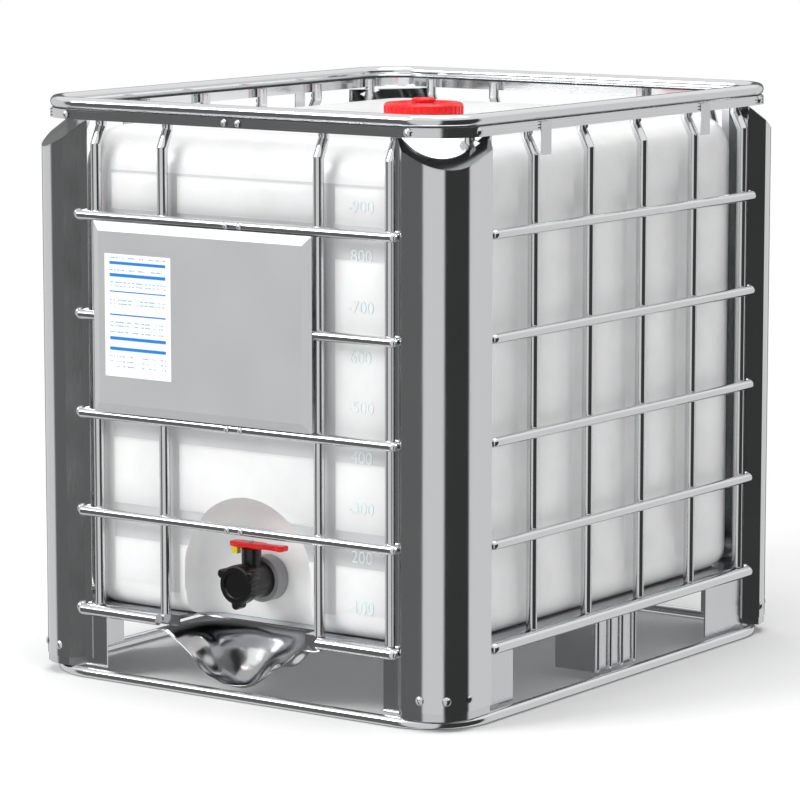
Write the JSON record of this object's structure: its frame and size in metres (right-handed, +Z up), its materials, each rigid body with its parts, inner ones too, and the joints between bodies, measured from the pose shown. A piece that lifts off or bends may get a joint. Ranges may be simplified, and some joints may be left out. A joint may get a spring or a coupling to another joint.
{
  "type": "intermediate bulk container",
  "caption": "Rigid bulk liquid tank: white rounded bottle in a stainless tube cage with corner guards, sheet pallet, screw lid and lever outlet valve.",
  "frame": {"origin": "centre of the footprint on the ground, under the bottom ring", "axes": "+Z up, +Y from the valve side to the back along the 1.2 m side, +X to the right when facing the valve side"},
  "size_m": [0.9996, 1.1996, 1.127],
  "materials": {
    "tube_steel": "bright stainless tube",
    "sheet_steel": "polished stainless sheet",
    "bolt_steel": "button-head stainless bolt",
    "galvanised_sheet": "matt galvanised sheet",
    "label_film": "printed film, blank",
    "bottle_hdpe": "natural white blow-moulded polyethylene",
    "red_plastic": "red moulded polypropylene",
    "yellow_plastic": "yellow moulded plastic",
    "black_plastic": "black moulded polypropylene",
    "grey_plastic": "grey moulded plastic",
    "seal_rubber": "black seal rubber"
  },
  "bodies": {
    "container": {"bottle_body": "bottle_hdpe", "bottle_front": "bottle_hdpe", "bottle_neck": "bottle_hdpe", "bottle_top": "bottle_hdpe", "bottom_ring": "tube_steel", "collar_nut": "grey_plastic", "corner_guard_back_left": "sheet_steel", "corner_guard_back_right": "sheet_steel", "corner_guard_front_left": "sheet_steel", "corner_guard_front_right": "sheet_steel", "corner_leg_back_left": "sheet_steel", "corner_leg_back_right": "sheet_steel", "corner_leg_front_left": "sheet_steel", "corner_leg_front_right": "sheet_steel", "cross_bars_back": "tube_steel", "cross_bars_front": "tube_steel", "cross_bars_left": "tube_steel", "cross_bars_right": "tube_steel", "deck_pan": "sheet_steel", "deck_rail_back": "tube_steel", "deck_rail_front": "tube_steel", "deck_rail_left": "tube_steel", "deck_rail_right": "tube_steel", "drain_lip": "sheet_steel", "guard_cap_back_left": "sheet_steel", "guard_cap_back_right": "sheet_steel", "guard_cap_front_left": "sheet_steel", "guard_cap_front_right": "sheet_steel", "guard_foot_bolts": "bolt_steel", "label_plate": "galvanised_sheet", "label_sheet": "label_film", "mid_leg_left": "sheet_steel", "mid_leg_right": "sheet_steel", "outlet_seal": "seal_rubber", "top_band": "tube_steel", "top_frame_bolts": "bolt_steel", "top_tube": "tube_steel", "twin_bolts": "bolt_steel", "upright_hooks_left": "sheet_steel", "upright_hooks_right": "sheet_steel", "upright_screws": "bolt_steel", "uprights_back": "tube_steel", "uprights_front": "tube_steel", "uprights_left": "tube_steel", "uprights_right": "tube_steel", "valve_body": "black_plastic"},
    "lid_ring": {"lid_gasket": "seal_rubber"},
    "lid": {"lid": "red_plastic"},
    "vent_ring": {"vent_gasket": "seal_rubber"},
    "vent": {"vent_cap": "red_plastic"},
    "handle": {"valve_handle": "red_plastic", "handle_screw": "bolt_steel", "valve_disc": "black_plastic", "handle_lock": "yellow_plastic"},
    "cap_ring": {"cap_gasket": "seal_rubber"},
    "cap": {"dust_cap": "black_plastic"}
  },
  "joints": [
    {"name": "lid_lift", "type": "slide", "parent": "container", "child": "lid_ring", "axis": [0, 0, 1], "range_m": [0, 0.016]},
    {"name": "lid_turn", "type": "hinge", "parent": "lid_ring", "child": "lid", "pos_m": [0, 0.03, 1.0883], "axis": [0, 0, 1], "range_deg": [0, 720]},
    {"name": "vent_lift", "type": "slide", "parent": "lid", "child": "vent_ring", "axis": [0, 0, 1], "range_m": [0, 0.008]},
    {"name": "vent_turn", "type": "hinge", "parent": "vent_ring", "child": "vent", "pos_m": [0, 0.03, 1.1009], "axis": [0, 0, 1], "range_deg": [0, 720]},
    {"name": "valve_turn", "type": "hinge", "parent": "container", "child": "handle", "pos_m": [0, -0.5375, 0.288], "axis": [0, 0, 1], "range_deg": [-90, 0]},
    {"name": "cap_slide", "type": "slide", "parent": "container", "child": "cap_ring", "axis": [0, -1, 0], "range_m": [0, 0.018]},
    {"name": "cap_turn", "type": "hinge", "parent": "cap_ring", "child": "cap", "pos_m": [0, -0.5815, 0.223], "axis": [0, -1, 0], "range_deg": [0, 1080]}
  ],
  "couplings": [
    {"joint": "lid_lift", "follows": "lid_turn", "m_per_rad": 0.0012732},
    {"joint": "vent_lift", "follows": "vent_turn", "m_per_rad": 0.00063662},
    {"joint": "cap_slide", "follows": "cap_turn", "m_per_rad": 0.00095493}
  ]
}
